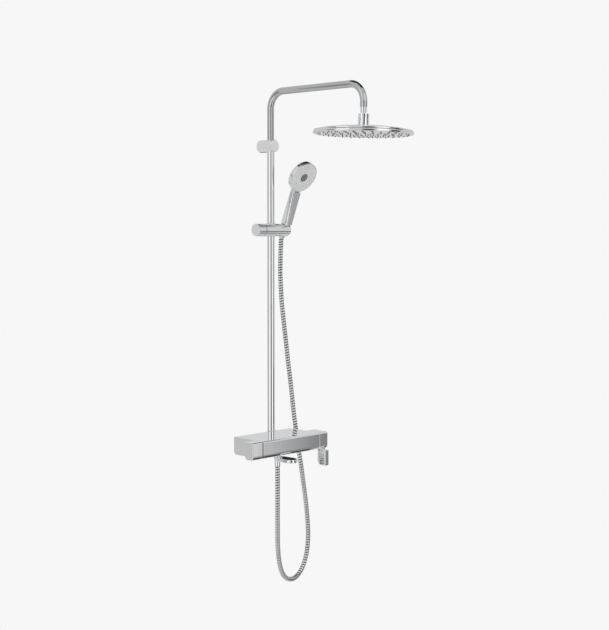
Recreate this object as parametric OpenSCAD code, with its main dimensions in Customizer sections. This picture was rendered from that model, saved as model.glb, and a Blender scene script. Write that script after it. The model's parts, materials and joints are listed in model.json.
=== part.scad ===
// Rainfall shower column with a shelf mixer, hand shower, bath spout and tilting rain head.
// Origin: on the wall plane, midway between the two inlets. +X right, +Y into the wall, +Z up.

/* [Mixer] */
// Width of the mixer cover and shelf
body_w = 248; // [244:1:260]
// Distance from the wall to the front of the mixer
body_front = 183; // [181:1:190]
// Gap between the wall and the back of the cover
body_gap = 50; // [46:1:52]
// Height of the mixer, shelf included
body_h = 55; // [53:1:58]
// Thickness of the shelf plate
shelf_t = 6; // [5:0.5:7]
// Distance between the hot and cold inlets
inlet_spacing = 150; // [148:1:152]

/* [Column] */
// Sideways place of the column
riser_x = 41.5; // [40:0.5:43]
// Distance from the wall to the column's axis
riser_out = 46.5; // [46:0.5:48]
// Outer diameter of the lower column tube
riser_d = 24.4; // [24.2:0.1:25]
// Outer diameter of the upper tube, which slides in the lower one
arm_d = 22; // [21.8:0.1:22]
// Height of the wall bracket above the inlets
bracket_z = 941; // [900:1:960]
// Height of the overhead arm's centreline
arm_z = 1111; // [1100:1:1120]
// Reach of the overhead arm
arm_reach = 396.5; // [360:0.5:420]
// Centreline radius of the arm's bends
arm_bend_r = 55; // [50:1:60]

/* [Hand shower] */
// Height of the slider and handset holder
holder_z = 675; // [674:1:676]
// Diameter of the slider, the knob and the wall bracket
holder_d = 40; // [39:0.5:41]
// Forward tilt of the hand shower
hand_tilt = 21; // [20.5:0.5:21.5]
// Diameter of the hand shower's head
hand_d = 102; // [96:1:106]

/* [Rain head] */
// Diameter of the rain head
head_d = 300; // [280:5:320]
// Thickness of the rain head's rim
head_t = 14; // [12:1:16]
// Lean of the rain head about each of its two tilt axes, as it hangs
head_lean = 0.85; // [0:0.05:1.5]

/* [Hidden] */
$fn = 64;
hull_fn = 32;

// Mixer levels and planes
body_top = body_h / 2;
body_bot = -body_h / 2;
cover_top = body_top - shelf_t;
cover_wall = 2.5;
body_x = body_w / 2;
end_t = 3;
front_bot_r = 14;
back_bot_r = 10;
knob_gap = 1.5;
left_axis_y = -164.5;
right_axis_y = -153;
lever_front = -190.5;
lever_back = -155.5;
lever_bot = -82;
lever_h = 51.5;
lever_pin_x = body_x + 28;
lever_pin_y = -160;
lever_pin_z = -12;
lever_neck_w = 29.2;
lever_slot_w = 30;
spout_y = -137;
outlet_x = 40;
outlet_y = -77;

// Inlets: flanged tails that hold the union nuts on the casting
tail_r = 9.5;
tail_flange_r = 11.5;
thread_r = 12.1;
inlet_boss_r = 14;

// Spout
spout_r = 21.5;
spout_l = 41;
spout_t = 11.5;
spout_bot = body_bot - 26;

// Column
riser_y = -riser_out;
riser_bore_r = arm_d / 2 + 0.06;
riser_r = riser_d / 2;
arm_r = arm_d / 2;
arm_bore_r = 9.6;
riser_bot = 2;
riser_top = bracket_z + 18;
bush_z = bracket_z - 140;
bush_h = 14;
spigot_r = 8.6;
arm_drop_y = riser_y - arm_reach;
ferrule_r = 9.9;
ferrule_bot = 1022.5;
ferrule_top = 1039;

// Hand shower, in its own tilted frame about the centre of its holder
holder_r = holder_d / 2;
cup_x = riser_x + 57;
cup_l = 40;
slider_right = 33;
slider_left = 35;
knob_l = 31;
nut_top = 20;
nut_bot = -26;
handle_foot_w = 26;
handle_foot_t = 34;
handle_neck_w = 35;
handle_neck_t = 20;
handle_foot_s = nut_top + 0.4;
handle_neck_s = 138;
handle_front_y = -21.5;
hand_r = hand_d / 2;
hand_rim = 3;
hand_chamfer = 3;
hand_face_s = 187;
hand_front = -28.2;
hand_back = 18.5;
hand_lean = 10.5;
button_r = 13.5;

// Rain head
head_mid = 965;
dome_h = 12;
head_top = head_mid + head_t / 2;
head_bot = head_mid - head_t / 2;
dome_top = head_top + dome_h;
head_r = head_d / 2;
ball_z = 1001;
ball_r = 11;
seat_r = 13;
seat_gap = 0.4;
socket_r = 17;
nozzle_rings = 6;

// Hose: its route from the hand shower's nut to the outlet under the mixer
hose_d = 15;
hose_sides = 8;
hose_steps = 2;
hose_route = [
    [98.5, -37.2, 650.7], [99.5, -33.8, 641], [101.5, -31, 628], [104.5, -26.5, 600], [107, -23, 570],
    [109, -20.5, 535], [112, -19.5, 500], [115, -20, 448], [120, -22, 396], [125, -25, 343],
    [130, -28, 290], [135, -31, 237], [140, -35, 184], [144, -39, 130], [148, -43, 76], [153, -48, 20],
    [160, -52, -40], [168, -57, -100], [175, -61, -160], [183, -64, -220], [188, -66, -275],
    [190, -68, -323], [187, -69, -364], [178, -70, -402], [163, -70, -435], [140, -71, -458],
    [112, -72, -467], [84, -73, -459], [62, -74, -434], [49, -75, -395], [42, -76, -350],
    [40, -77, -300], [40, -77, -240], [40, -77, -180], [40, -77, -120], [40, -77, -83]
];

chrome = [0.82, 0.83, 0.84];
brass = [0.78, 0.62, 0.32];
plastic = [0.75, 0.76, 0.77];
rubber = [0.35, 0.36, 0.38];

// ---------------------------------------------------------------- shared shapes

// A rod along +Y from y0 to y1
module rod_y(r, y0, y1) {
    translate([0, y0, 0]) rotate([-90, 0, 0]) cylinder(r = r, h = y1 - y0);
}

// A rod along +X from x0 to x1
module rod_x(r, x0, x1) {
    translate([x0, 0, 0]) rotate([0, 90, 0]) cylinder(r = r, h = x1 - x0);
}

// A ring standing along Z
module ring(r_out, r_in, z0, z1) {
    translate([0, 0, z0]) difference() {
        cylinder(r = r_out, h = z1 - z0);
        translate([0, 0, -1]) cylinder(r = r_in, h = z1 - z0 + 2);
    }
}

// The waste left outside a corner of radius r, with the corner at the origin
module corner_waste(r) {
    difference() {
        translate([-1, -1]) square(r + 1);
        translate([r, r]) circle(r);
    }
}

// The mixer's section, drawn as (y, z), shrunk by inset
module mixer_section(inset, z_top) {
    y0 = -body_front + inset;
    y1 = -body_gap - inset;
    z0 = body_bot + inset;
    difference() {
        translate([y0, z0]) square([y1 - y0, z_top - z0]);
        translate([y0, z0]) corner_waste(front_bot_r - inset);
        translate([y1, z0]) mirror([1, 0]) corner_waste(back_bot_r - inset);
    }
}

// Extrudes a (y, z) outline along X
module along_x(x0, x1) {
    translate([x0, 0, 0]) rotate([90, 0, 90]) linear_extrude(x1 - x0) children();
}

// Puts children in the hand shower's tilted frame: +Z up the handle, -Y out of the face
module hand_frame() {
    translate([cup_x, riser_y, holder_z]) rotate([hand_tilt, 0, 0]) children();
}

// Places children at the column's axis
module at_riser() {
    translate([riser_x, riser_y, 0]) children();
}

// Places children at the rain head's axis
module at_head() {
    translate([riser_x, arm_drop_y, 0]) children();
}

// Places children at the rain head's axis, leaning about its ball as the head hangs
module at_hanging_head() {
    at_head() translate([0, 0, ball_z]) rotate([head_lean, head_lean, 0])
        translate([0, 0, -ball_z]) children();
}

// A rounded block along X: its section is the control's side outline
module control_block(x0, x1, y0, y1, r_front_top, r_front_bot, r_back_bot) {
    along_x(x0, x1) difference() {
        translate([y0, body_bot]) square([y1 - y0, body_h]);
        translate([y0, body_bot]) corner_waste(r_front_bot);
        translate([y1, body_bot]) mirror([1, 0]) corner_waste(r_back_bot);
        translate([y0, body_top]) mirror([0, 1]) corner_waste(r_front_top);
    }
}

// ---------------------------------------------------------------- mixer

module shelf_plate() {
    color(chrome) difference() {
        union() {
            along_x(-body_x, body_x) difference() {
                translate([-body_front, cover_top]) square([body_front - body_gap, shelf_t]);
                translate([-body_front, body_top]) mirror([0, 1]) corner_waste(shelf_t - 0.5);
            }
            at_riser() translate([0, 0, cover_top]) cylinder(r = 14.5, h = shelf_t);
        }
        at_riser() translate([0, 0, cover_top - 1]) cylinder(r = riser_r + 0.2, h = shelf_t + 2);
    }
}

module mixer_cover() {
    color(chrome) difference() {
        along_x(-body_x, body_x) difference() {
            mixer_section(0, cover_top);
            mixer_section(cover_wall, cover_top + 1);
        }
        translate([0, spout_y, body_bot - 1]) cylinder(r = 17, h = 5);
        translate([outlet_x, outlet_y, body_bot - 1]) cylinder(r = 13.2, h = 5);
        for (side = [-1, 1]) translate([side * inlet_spacing / 2, 0, 0])
            rod_y(16.2, -body_gap - 5, -body_gap + 1);
        translate([riser_x - 18, -body_gap - 5, -20]) cube([36, 6, cover_top + 21]);
    }
}

module end_plate(x0, hole_r, hole_y) {
    difference() {
        along_x(x0, x0 + end_t) mixer_section(cover_wall, cover_top);
        translate([0, hole_y, 0]) rod_x(hole_r, x0 - 1, x0 + end_t + 1);
    }
}

module left_end_plate() {
    color(chrome) end_plate(-body_x, 12, left_axis_y);
}

module right_end_plate() {
    color(chrome) end_plate(body_x - end_t, 17, right_axis_y);
}

// The brass waterway: two cartridge barrels, inlet legs, column boss, outlet and spout bosses
module mixer_casting() {
    color(brass) difference() {
        union() {
            translate([0, left_axis_y, 0]) rod_x(14.5, -118, -8);
            translate([0, right_axis_y, 0]) rod_x(19, -10, 118);
            for (side = [-1, 1]) translate([side * inlet_spacing / 2, 0, 0]) {
                rod_y(inlet_boss_r - 2, left_axis_y, -60);
                rod_y(inlet_boss_r, -60, -body_gap);
            }
            translate([riser_x, 0, 0]) rod_y(10, right_axis_y, riser_y);
            at_riser() translate([0, 0, -16]) cylinder(r = 16, h = cover_top + 16);
            translate([outlet_x, outlet_y, body_bot]) cylinder(r = 13, h = -body_bot);
            translate([0, spout_y, body_bot]) cylinder(r = 16.5, h = -body_bot);
        }
        translate([0, left_axis_y, 0]) rod_x(11, -119, -60);
        translate([0, right_axis_y, 0]) rod_x(16.5, 66, 119);
        for (side = [-1, 1]) translate([side * inlet_spacing / 2, 0, 0]) {
            rod_y(8, -150, -body_gap + 1);
            rod_y(tail_r, -body_gap - 8, -body_gap + 1);
        }
        translate([riser_x, 0, 0]) rod_y(6, right_axis_y, riser_y);
        at_riser() translate([0, 0, riser_bot]) cylinder(r = riser_r + 0.02, h = 40);
        translate([outlet_x, outlet_y, body_bot - 1]) cylinder(r = 8, h = 24);
        translate([0, spout_y, body_bot - 1]) cylinder(r = 12.06, h = 19);
        translate([0, spout_y, body_bot]) cylinder(r = 6, h = -body_bot);
    }
}

// A flanged tail, screwed into the casting, that a union nut turns on
module inlet_tail(side) {
    translate([side * inlet_spacing / 2, 0, 0]) color(brass) difference() {
        union() {
            rod_y(tail_r, -body_gap - 8, -body_gap + 8);
            rod_y(tail_flange_r, -body_gap + 7, -body_gap + 10);
        }
        rod_y(7, -body_gap - 9, -body_gap + 11);
    }
}

module hot_inlet_tail() {
    inlet_tail(-1);
}

module cold_inlet_tail() {
    inlet_tail(1);
}

// A hexagonal union nut that pulls the mixer onto a wall union: lip, pocket for the flange, thread
module union_nut(side) {
    translate([side * inlet_spacing / 2, 0, 0]) color(chrome) difference() {
        union() {
            translate([0, -body_gap + 16, 0]) rotate([90, 0, 0]) cylinder(r = 17.3, h = 14, $fn = 6);
            rod_y(14.4, -body_gap + 16, -body_gap + 20);
        }
        rod_y(tail_r + 0.2, -body_gap, -body_gap + 8);
        rod_y(tail_flange_r + 0.4, -body_gap + 6.8, -body_gap + 13);
        rod_y(thread_r, -body_gap + 12, -body_gap + 21);
    }
}

module hot_union_nut() {
    union_nut(-1);
}

module cold_union_nut() {
    union_nut(1);
}

// Filter washers in the union nuts, on the tails' flanges
module inlet_filters() {
    color(rubber) for (side = [-1, 1]) translate([side * inlet_spacing / 2, 0, 0]) difference() {
        rod_y(tail_flange_r, -body_gap + 10, -body_gap + 12);
        rod_y(5.5, -body_gap + 9, -body_gap + 13);
    }
}

// ---------------------------------------------------------------- controls

module diverter_cartridge() {
    color(plastic) translate([0, left_axis_y, 0]) difference() {
        rod_x(10.9, -118, -62);
        rod_x(5.06, -119, -80);
    }
}

module diverter_spindle() {
    color(brass) translate([0, left_axis_y, 0]) rod_x(5, -body_x - knob_gap - 16, -81);
}

module diverter_knob() {
    color(chrome) difference() {
        control_block(-body_x - 44, -body_x - knob_gap, -body_front, -body_front + 37, 5.5, 13, 13);
        translate([0, left_axis_y, 0]) rod_x(5, -body_x - knob_gap - 16, -body_x);
    }
}

module mixing_cartridge() {
    color(plastic) translate([0, right_axis_y, 0]) difference() {
        rod_x(16.4, 68, 110);
        rod_x(8.06, 84, 112);
    }
}

module cartridge_nut() {
    color(brass) translate([0, right_axis_y, 0]) difference() {
        rod_x(16.3, 110.5, 120);
        rod_x(9, 109, 121);
    }
}

module mixing_stem() {
    color(brass) translate([0, right_axis_y, 0]) rod_x(8, 85, body_x + knob_gap + 12);
}

// Right-hand control block; the lever's neck sits in a slot that opens downwards and outwards
module lever_hub() {
    color(chrome) difference() {
        control_block(body_x + knob_gap, body_x + 39, -body_front, -body_front + 60, 5.5, 13, 13);
        translate([0, right_axis_y, 0]) rod_x(8, body_x, body_x + knob_gap + 12);
        translate([body_x + 17, lever_pin_y - lever_slot_w / 2, body_bot - 1])
            cube([40, lever_slot_w, 27]);
        translate([lever_pin_x, 0, lever_pin_z]) rod_y(2.5, lever_pin_y - 19, lever_pin_y + 19);
    }
}

module lever_pin() {
    color(brass) translate([lever_pin_x, lever_pin_y, lever_pin_z]) rod_y(2.5, -18.5, 18.5);
}

// The hanging lever: a neck on the pin and a flat blade below the hub
module lever() {
    color(chrome) difference() {
        union() {
            translate([lever_pin_x, lever_pin_y, lever_pin_z])
                rod_y(8, -lever_neck_w / 2, lever_neck_w / 2);
            translate([lever_pin_x - 8, lever_pin_y - lever_neck_w / 2, lever_pin_z - 20])
                cube([16, lever_neck_w, 20]);
            along_x(body_x + 19, body_x + 37) difference() {
                translate([lever_front, lever_bot]) square([lever_back - lever_front, lever_h]);
                translate([lever_front, lever_bot]) corner_waste(5);
                translate([lever_back, lever_bot]) mirror([1, 0]) corner_waste(16);
            }
        }
        translate([lever_pin_x, lever_pin_y, lever_pin_z]) rod_y(2.56, -20, 20);
    }
}

// ---------------------------------------------------------------- spout and hose outlet

module spout_collar() {
    color(chrome) translate([0, spout_y, 0]) ring(19.5, 12.5, body_bot - 2.6, body_bot);
}

// A flat bath spout with round ends, on a round neck
module spout() {
    color(chrome) translate([0, spout_y, 0]) difference() {
        union() {
            translate([0, 0, spout_bot + 6]) cylinder(r = 12, h = -10 - spout_bot - 6);
            translate([0, 0, spout_bot]) linear_extrude(spout_t) union() {
                circle(spout_r);
                translate([0, -spout_l]) circle(spout_r);
                translate([-spout_r, -spout_l]) square([2 * spout_r, spout_l]);
            }
        }
        translate([0, 0, spout_bot + 5]) cylinder(r = 8, h = 50);
        translate([0, -spout_l, spout_bot - 1]) cylinder(r = 11.5, h = 7);
        translate([-7, -spout_l, spout_bot + 4]) cube([14, spout_l, 4]);
    }
}

module spout_seal() {
    color(rubber) translate([0, spout_y, 0]) ring(7.9, 6.2, -14, -11);
}

module aerator() {
    color(plastic) translate([0, spout_y - spout_l, spout_bot]) difference() {
        translate([0, 0, -1]) cylinder(r = 11.4, h = 6.8);
        translate([0, 0, -2]) cylinder(r = 8.5, h = 2.5);
        for (a = [0 : 60 : 300]) rotate([0, 0, a]) translate([5, 0, -1]) cylinder(r = 1.2, h = 8);
    }
}

module hose_outlet() {
    color(chrome) translate([outlet_x, outlet_y, 0]) difference() {
        union() {
            translate([0, 0, body_bot - 4]) cylinder(r = 15, h = 4);
            translate([0, 0, body_bot - 20]) cylinder(r = 10.4, h = 17);
        }
        translate([0, 0, body_bot - 21]) cylinder(r = 6, h = 22);
    }
}

module outlet_washer() {
    color(rubber) translate([outlet_x, outlet_y, 0]) ring(9.5, 5, body_bot - 23, body_bot - 20);
}

// Coupling nut on the hose's lower end, with its long ferrule
module outlet_nut() {
    color(chrome) translate([outlet_x, outlet_y, 0]) rotate_extrude()
        polygon([[5, -83], [9.2, -83], [9.2, -64], [12.4, -59], [12.4, -36], [11.8, -35],
            [10.45, -35], [10.45, body_bot - 23], [5, body_bot - 23]]);
}

// ---------------------------------------------------------------- column

// Thin seal round the column's foot
module riser_seal() {
    color(rubber) at_riser() ring(13.4, riser_r + 0.02, body_top, body_top + 1.2);
}

module lower_riser() {
    color(chrome) at_riser() ring(riser_r, riser_bore_r, riser_bot, riser_top);
}

// The upper tube: straight leg, bend, reach, bend and drop, hollow all through
module arm_path(r) {
    leg_top = arm_z - arm_bend_r;
    at_riser() {
        translate([0, 0, bush_z + bush_h + 0.3]) cylinder(r = r, h = leg_top - bush_z - bush_h - 0.3);
        translate([0, -arm_bend_r, leg_top]) rotate([90, 0, 90]) rotate_extrude(angle = 90)
            translate([arm_bend_r, 0]) circle(r);
        translate([0, 0, arm_z]) rod_y(r, -arm_reach + arm_bend_r, -arm_bend_r);
        translate([0, -arm_reach + arm_bend_r, leg_top]) rotate([90, 0, 90])
            rotate([0, 0, 90]) rotate_extrude(angle = 90) translate([arm_bend_r, 0]) circle(r);
        translate([0, -arm_reach, ferrule_top]) cylinder(r = r, h = leg_top - ferrule_top);
    }
}

module upper_arm() {
    color(chrome) difference() {
        union() {
            arm_path(arm_r);
            at_riser() translate([0, 0, bush_z - 2]) cylinder(r = spigot_r, h = bush_h + 6);
        }
        arm_path(arm_bore_r);
        at_riser() translate([0, 0, bush_z - 3]) cylinder(r = 6.5, h = bush_h + 8);
    }
}

// Guide ring on the arm's lower end: it slides in the column while the arm turns in it
module arm_bush() {
    color(plastic) at_riser() ring(arm_r, spigot_r + 0.06, bush_z, bush_z + bush_h);
}

module bracket_base() {
    color(brass) translate([riser_x, 0, bracket_z]) difference() {
        rod_y(16.9, -16, 0);
        rod_y(3, -17, 1);
        rod_y(6.5, -17, -9);
    }
}

// The bracket: a horizontal barrel from the wall, bored for the column
module wall_bracket() {
    color(chrome) translate([riser_x, 0, bracket_z]) difference() {
        union() {
            rod_y(holder_r, riser_y - 17, -1);
            rod_y(holder_r - 1, riser_y - 18, riser_y - 16);
        }
        rod_y(17, -17, 0);
        translate([0, riser_y, -holder_r - 1]) cylinder(r = riser_r + 0.02, h = 2 * holder_r + 2);
        translate([0, -8, -holder_r - 1]) cylinder(r = 2.5, h = 8);
    }
}

module bracket_grub_screw() {
    color(chrome) translate([riser_x, -8, bracket_z - holder_r + 0.5]) cylinder(r = 2.45, h = 2.4);
}

// ---------------------------------------------------------------- slider

module slider_bush() {
    color(plastic) at_riser() ring(15, riser_r + 0.06, holder_z - holder_r - 1, holder_z + holder_r + 1);
}

module slider_body() {
    color(chrome) difference() {
        translate([riser_x, riser_y, holder_z]) rod_x(holder_r, -slider_left, slider_right);
        at_riser() translate([0, 0, holder_z - 30]) cylinder(r = 15.06, h = 60);
        translate([riser_x, riser_y, holder_z]) rod_x(6, -slider_left - 1, 0);
        translate([riser_x, riser_y, holder_z]) rod_x(4, 0, slider_right + 1);
    }
}

// Plastic pad that the clamp screw presses on the bush
module brake_pad() {
    color(plastic) translate([riser_x, riser_y, holder_z]) rod_x(5.9, -20, -16.5);
}

module clamp_screw() {
    color(brass) translate([riser_x, riser_y, holder_z]) rod_x(5.9, -slider_left - 14, -21.5);
}

module clamp_knob() {
    color(chrome) translate([riser_x, riser_y, holder_z]) difference() {
        union() {
            rod_x(holder_r, -slider_left - knob_l + 1, -slider_left - 1);
            rod_x(holder_r - 1.2, -slider_left - knob_l - 1, -slider_left - 1);
        }
        rod_x(5.9, -slider_left - 14, -slider_left);
    }
}

module cup_pin() {
    color(brass) translate([riser_x, riser_y, holder_z]) rod_x(4, 18, slider_right + 6);
}

// Swivelling seat for the hand shower: tapered hole, and a slot on its outer end for the hose
module handset_cup() {
    color(chrome) difference() {
        translate([riser_x, riser_y, holder_z]) union() {
            rod_x(holder_r, slider_right + 0.4, slider_right + cup_l - 2);
            rod_x(holder_r - 1.5, slider_right + cup_l - 3, slider_right + cup_l);
        }
        hand_frame() {
            translate([0, 0, -30]) cylinder(r1 = 10.1, r2 = 13.3, h = 60);
            translate([0, -8, -30]) cube([40, 16, 60]);
        }
        translate([riser_x, riser_y, holder_z]) rod_x(4.06, slider_right, slider_right + 6.5);
    }
}

// ---------------------------------------------------------------- hand shower

module hose_cone_nut() {
    color(chrome) hand_frame() rotate_extrude()
        polygon([[5, nut_bot], [9.4, nut_bot], [10, nut_bot + 2], [12.4, nut_top], [8.06, nut_top],
            [8.06, 4], [5, 4]]);
}

module cone_washer() {
    color(rubber) hand_frame() ring(7.9, 5, 4, 6.5);
}

// One rounded slice of the handle, w wide and t thick, with its front at front_y
module handle_slice(w, t, front_y, z) {
    translate([0, front_y + t / 2, z]) hull() for (sx = [-1, 1], sy = [-1, 1])
        translate([sx * (w / 2 - 6), sy * (t / 2 - 6), 0]) cylinder(r = 6, h = 1, $fn = hull_fn);
}

// Places children in the hand shower's head: the face looks along -Y and leans more than the handle
module hand_face_frame() {
    hand_frame() translate([0, hand_front, hand_face_s]) rotate([hand_lean, 0, 0]) children();
}

// Shell of the hand shower: a handle that widens upwards and a round head, hollow behind its face
module handset_shell() {
    color(chrome) difference() {
        union() {
            hand_frame() translate([0, 0, 6.8]) cylinder(r = 8, h = 20);
            hand_frame() hull() {
                handle_slice(handle_foot_w, handle_foot_t, handle_front_y, handle_foot_s);
                handle_slice(handle_neck_w, handle_neck_t, handle_front_y + 4, handle_neck_s);
            }
            hand_frame() hull() {
                handle_slice(handle_neck_w, handle_neck_t, handle_front_y + 4, handle_neck_s);
                handle_slice(handle_neck_w + 10, 12.5, handle_front_y - 1.5, handle_neck_s + 37);
            }
            hand_face_frame() rotate([-90, 0, 0]) {
                translate([0, 0, hand_rim])
                    cylinder(r = hand_r, h = hand_back - hand_chamfer - hand_rim);
                translate([0, 0, hand_back - hand_chamfer])
                    cylinder(r1 = hand_r, r2 = hand_r - 5, h = hand_chamfer);
            }
        }
        hand_frame() translate([0, 0, -1]) cylinder(r = 5, h = 122);
        hand_frame() translate([-4, -17, 112]) cube([8, 20, 8]);
        hand_face_frame() rotate([-90, 0, 0]) {
            translate([0, 0, hand_rim - 15]) cylinder(r = hand_r + 4, h = 15);
            translate([0, 0, 2]) cylinder(r = hand_r - 4, h = 4.8);
        }
        handle_front() translate([0, -3, 0]) insert_plate(0.1, 4.6);
    }
}

// Places children on the handle's sloping front, at the foot of its insert
module handle_front() {
    hand_frame() translate([0, handle_front_y + 0.4, handle_foot_s + 4]) rotate([-2, 0, 0]) children();
}

// The insert's plate, standing in the X-Z plane, larger all round by extra
module insert_plate(extra, t) {
    translate([0, t, 0]) rotate([90, 0, 0]) linear_extrude(t)
        polygon([[-9.5 - extra, -extra], [9.5 + extra, -extra], [14.5 + extra, 106 + extra],
            [-14.5 - extra, 106 + extra]]);
}

module handle_insert() {
    color(plastic) handle_front() insert_plate(0, 1.5);
}

hand_rings = [[22, 10], [32, 16], [42, 22]];

// Calls its child at each place of the hand shower's nozzles
module at_hand_nozzles() {
    for (row = hand_rings, i = [0 : row[1] - 1]) rotate([0, 0, i * 360 / row[1]])
        translate([row[0], 0, 0]) children();
}

module handset_faceplate() {
    color(plastic) hand_face_frame() rotate([-90, 0, 0]) difference() {
        union() {
            cylinder(r = hand_r - 1.5, h = 3);
            translate([0, 0, 3]) cylinder(r = hand_r - 4.1, h = 2);
        }
        translate([0, 0, -1]) cylinder(r = button_r + 0.3, h = 8);
        at_hand_nozzles() translate([0, 0, -1]) cylinder(r = 1.3, h = 8);
    }
}

module handset_nozzles() {
    color(rubber) hand_face_frame() rotate([-90, 0, 0]) {
        translate([0, 0, 5]) difference() {
            cylinder(r = hand_r - 5, h = 1.5);
            translate([0, 0, -1]) cylinder(r = button_r + 1, h = 4);
        }
        at_hand_nozzles() translate([0, 0, -0.8]) cylinder(r = 1.25, h = 6);
    }
}

module handset_button() {
    color(plastic) hand_face_frame() rotate([-90, 0, 0]) difference() {
        translate([0, 0, -1]) cylinder(r = button_r, h = 5);
        for (a = [0 : 45 : 315]) rotate([0, 0, a]) translate([4, -0.6, -2]) cube([7, 1.2, 2]);
    }
}

// ---------------------------------------------------------------- hose

// A point on the smooth curve through the route, between points i and i + 1
function route_point(i) = hose_route[max(0, min(len(hose_route) - 1, i))];
function curve(i, t) = 0.5 * (2 * route_point(i) + (route_point(i + 1) - route_point(i - 1)) * t
    + (2 * route_point(i - 1) - 5 * route_point(i) + 4 * route_point(i + 1) - route_point(i + 2)) * t * t
    + (3 * route_point(i) - route_point(i - 1) - 3 * route_point(i + 1) + route_point(i + 2)) * t * t * t);
hose_path = [for (i = [0 : len(hose_route) - 2], k = [0 : hose_steps - 1]) curve(i, k / hose_steps),
    hose_route[len(hose_route) - 1]];
rings = len(hose_path);
function unit(v) = v / norm(v);
function heading(i) = i == 0 ? [0, sin(hand_tilt), -cos(hand_tilt)]
    : i == rings - 1 ? [0, 0, 1] : unit(hose_path[i + 1] - hose_path[i - 1]);
// The loop lies near an X-Z plane, so the section's two axes come from +Y
function side_a(i) = unit(cross(heading(i), [0, 1, 0]));
function ring_point(i, s) = hose_path[i] + hose_d / 2 * (cos(s * 360 / hose_sides) * side_a(i)
    + sin(s * 360 / hose_sides) * cross(heading(i), side_a(i)));
hose_points = [for (i = [0 : rings - 1], s = [0 : hose_sides - 1]) ring_point(i, s)];
hose_walls = [for (i = [0 : rings - 2], s = [0 : hose_sides - 1])
    let (n = (s + 1) % hose_sides, a = i * hose_sides, b = a + hose_sides) [a + s, a + n, b + n, b + s]];
first_cap = [for (s = [hose_sides - 1 : -1 : 0]) s];
last_cap = [for (s = [0 : hose_sides - 1]) (rings - 1) * hose_sides + s];

module shower_hose() {
    color(chrome) polyhedron(hose_points, concat([first_cap, last_cap], hose_walls), convexity = 8);
}

// ---------------------------------------------------------------- rain head

module arm_ferrule() {
    color(chrome) at_head() ring(ferrule_r, 6, ferrule_bot, ferrule_top);
}

module ball_joint() {
    color(brass) at_head() difference() {
        union() {
            translate([0, 0, ball_z]) sphere(r = ball_r);
            translate([0, 0, ball_z]) cylinder(r = 6, h = ferrule_top - ball_z);
        }
        translate([0, 0, ball_z - ball_r - 1]) cylinder(r = 3, h = 60);
    }
}

// Seat between the ball and the socket, kept clear of the nut when the head tilts
module ball_seat() {
    color(plastic) at_head() translate([0, 0, ball_z]) difference() {
        sphere(r = seat_r);
        sphere(r = ball_r + 0.06);
        translate([-20, -20, -seat_gap]) cube([40, 40, 20]);
        translate([0, 0, -20]) cylinder(r = 7, h = 20);
    }
}

module ball_nut() {
    color(chrome) at_hanging_head() difference() {
        translate([0, 0, ball_z + 2]) cylinder(r = socket_r, h = 15.5);
        translate([0, 0, ball_z]) sphere(r = ball_r + 0.4);
        translate([0, 0, ball_z]) cylinder(r = 8, h = 30);
        translate([0, 0, ball_z + 3]) cylinder(r1 = 8.6, r2 = 12.4, h = 15);
        for (a = [0 : 30 : 330]) rotate([0, 0, a]) translate([socket_r + 0.6, 0, ball_z + 6])
            cylinder(r = 1.4, h = 9);
    }
}

module head_socket() {
    color(chrome) at_hanging_head() difference() {
        union() {
            translate([0, 0, dome_top]) cylinder(r = socket_r - 1.2, h = ball_z + 2 - dome_top);
            translate([0, 0, dome_top]) cylinder(r = socket_r, h = ball_z - 1 - dome_top);
        }
        translate([0, 0, ball_z]) sphere(r = seat_r + 0.06);
        translate([0, 0, head_top]) cylinder(r = 8, h = 40);
    }
}

// Upper shell of the rain head, domed, open underneath
module head_shell() {
    color(chrome) at_hanging_head() rotate_extrude() difference() {
        union() {
            polygon([[8, head_bot + 1.5], [head_r - 3, head_bot + 1.5], [head_r - 3, head_top - 1],
                [122, head_top + 4], [80, head_top + 9], [35, dome_top], [8, dome_top]]);
            translate([head_r - 5.5, head_mid - 1.5]) circle(5.5);
            translate([head_r - 5.5, head_bot + 2]) square([5.5, head_mid - head_bot - 3.5]);
        }
        polygon([[0, head_bot], [head_r - 3, head_bot], [head_r - 3, head_top - 5],
            [115, head_top + 1.5], [70, head_top + 6.5], [0, dome_top - 3]]);
    }
}

module head_faceplate() {
    color(chrome) at_hanging_head() difference() {
        translate([0, 0, head_bot]) cylinder(r = head_r - 3.2, h = 1.5);
        at_head_nozzles() translate([0, 0, head_bot - 1]) cylinder(r = 2.05, h = 4);
    }
}

// Calls its child at each nozzle, in rings that widen outwards
module at_head_nozzles() {
    for (ring_no = [1 : nozzle_rings], i = [0 : 5 * ring_no]) rotate([0, 0, i * 360 / (5 * ring_no + 1)])
        translate([head_r * 0.15 * ring_no, 0, 0]) children();
}

module head_nozzles() {
    color(rubber) at_hanging_head() {
        translate([0, 0, head_bot + 1.5]) cylinder(r = head_r - 8, h = 1.5);
        at_head_nozzles() translate([0, 0, head_bot - 2.5]) cylinder(r1 = 1.4, r2 = 2, h = 4.5);
    }
}

shelf_plate();
mixer_cover();
left_end_plate();
right_end_plate();
mixer_casting();
hot_inlet_tail();
cold_inlet_tail();
hot_union_nut();
cold_union_nut();
inlet_filters();
diverter_cartridge();
diverter_spindle();
diverter_knob();
mixing_cartridge();
cartridge_nut();
mixing_stem();
lever_hub();
lever_pin();
lever();
spout_collar();
spout();
spout_seal();
aerator();
hose_outlet();
outlet_washer();
outlet_nut();
riser_seal();
lower_riser();
upper_arm();
arm_bush();
bracket_base();
wall_bracket();
bracket_grub_screw();
slider_bush();
slider_body();
brake_pad();
clamp_screw();
clamp_knob();
cup_pin();
handset_cup();
hose_cone_nut();
cone_washer();
handset_shell();
handset_faceplate();
handset_nozzles();
handset_button();
handle_insert();
shower_hose();
arm_ferrule();
ball_joint();
ball_seat();
ball_nut();
head_socket();
head_shell();
head_faceplate();
head_nozzles();
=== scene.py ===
import json
import math

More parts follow.
